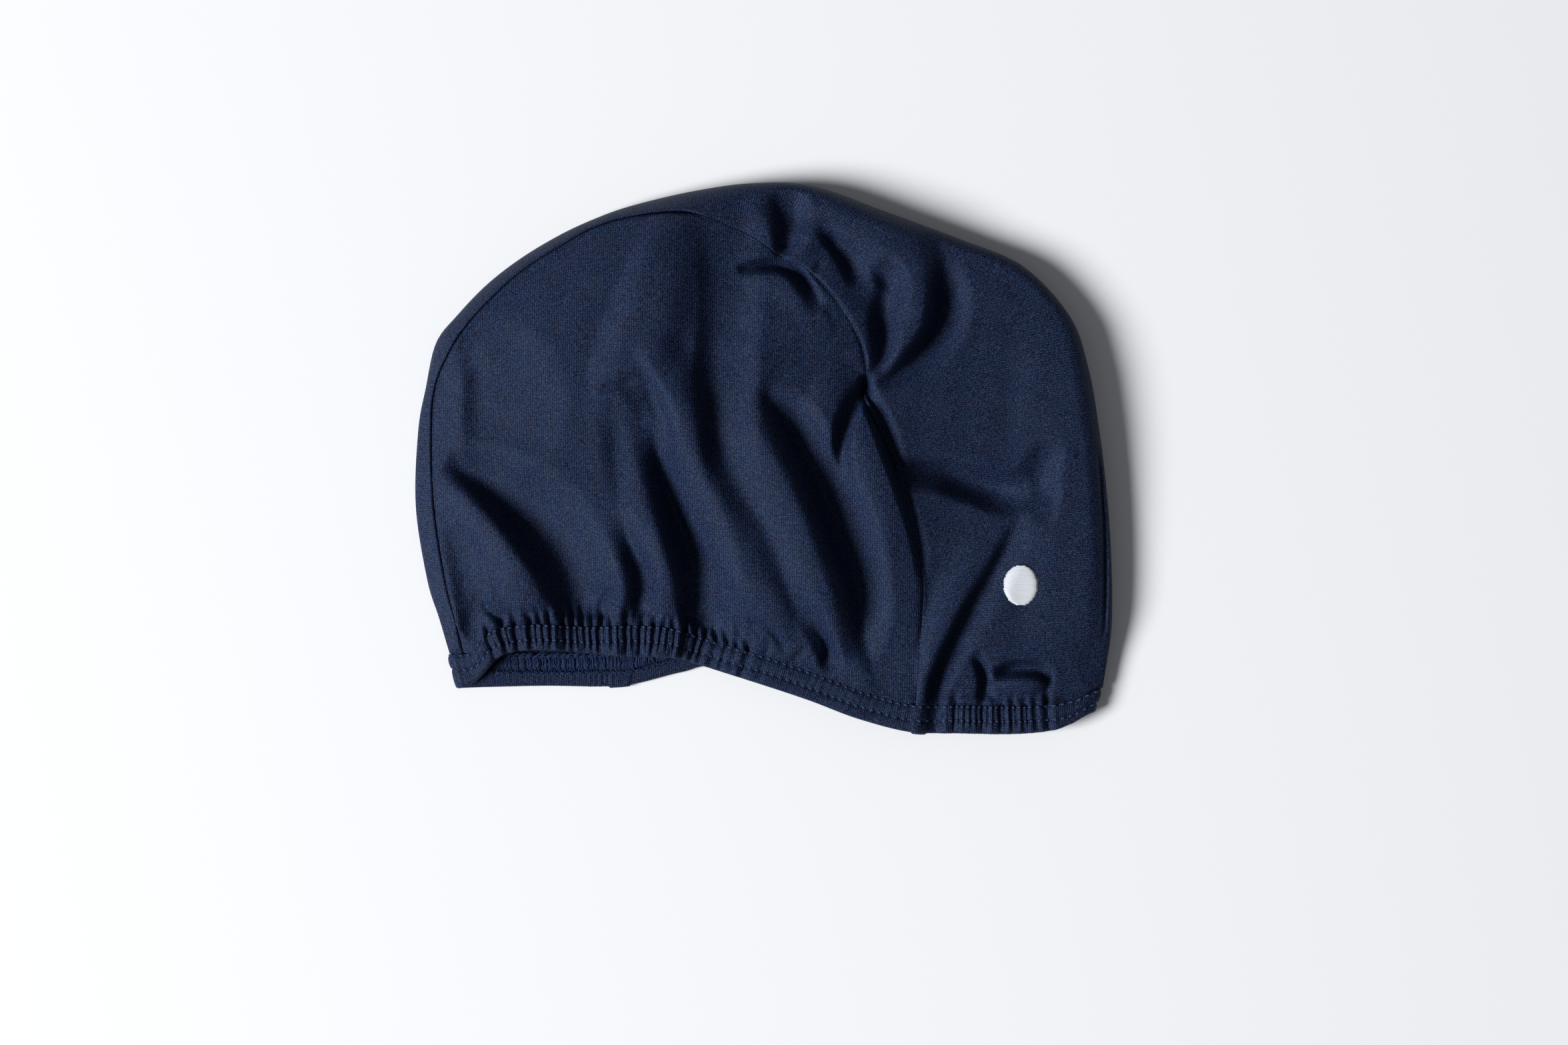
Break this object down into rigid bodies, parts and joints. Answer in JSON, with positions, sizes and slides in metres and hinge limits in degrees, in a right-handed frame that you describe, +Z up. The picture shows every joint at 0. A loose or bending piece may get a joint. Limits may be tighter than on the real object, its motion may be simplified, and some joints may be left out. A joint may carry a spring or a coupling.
{
  "type": "swim cap",
  "caption": "Soft fabric swim cap lying flattened on its side, with side panels, a centre panel, an elastic hem and an open mouth.",
  "frame": {"origin": "middle of the footprint, on the floor that the cap lies on", "axes": "+X from the nape to the forehead, +Y toward the crown, +Z up from the floor, out of the side that faces the camera"},
  "size_m": [0.2502, 0.1982, 0.0266],
  "materials": {
    "cloth": "dark navy stretch knit with a slight sheen",
    "hem": "the same knit folded over elastic and topstitched",
    "embroidery": "white satin stitch thread"
  },
  "bodies": {
    "root": {"near_side_panel": "cloth", "centre_panel": "cloth", "far_side_panel": "cloth", "hem_band": "hem", "front_mark": "embroidery"}
  },
  "joints": []
}
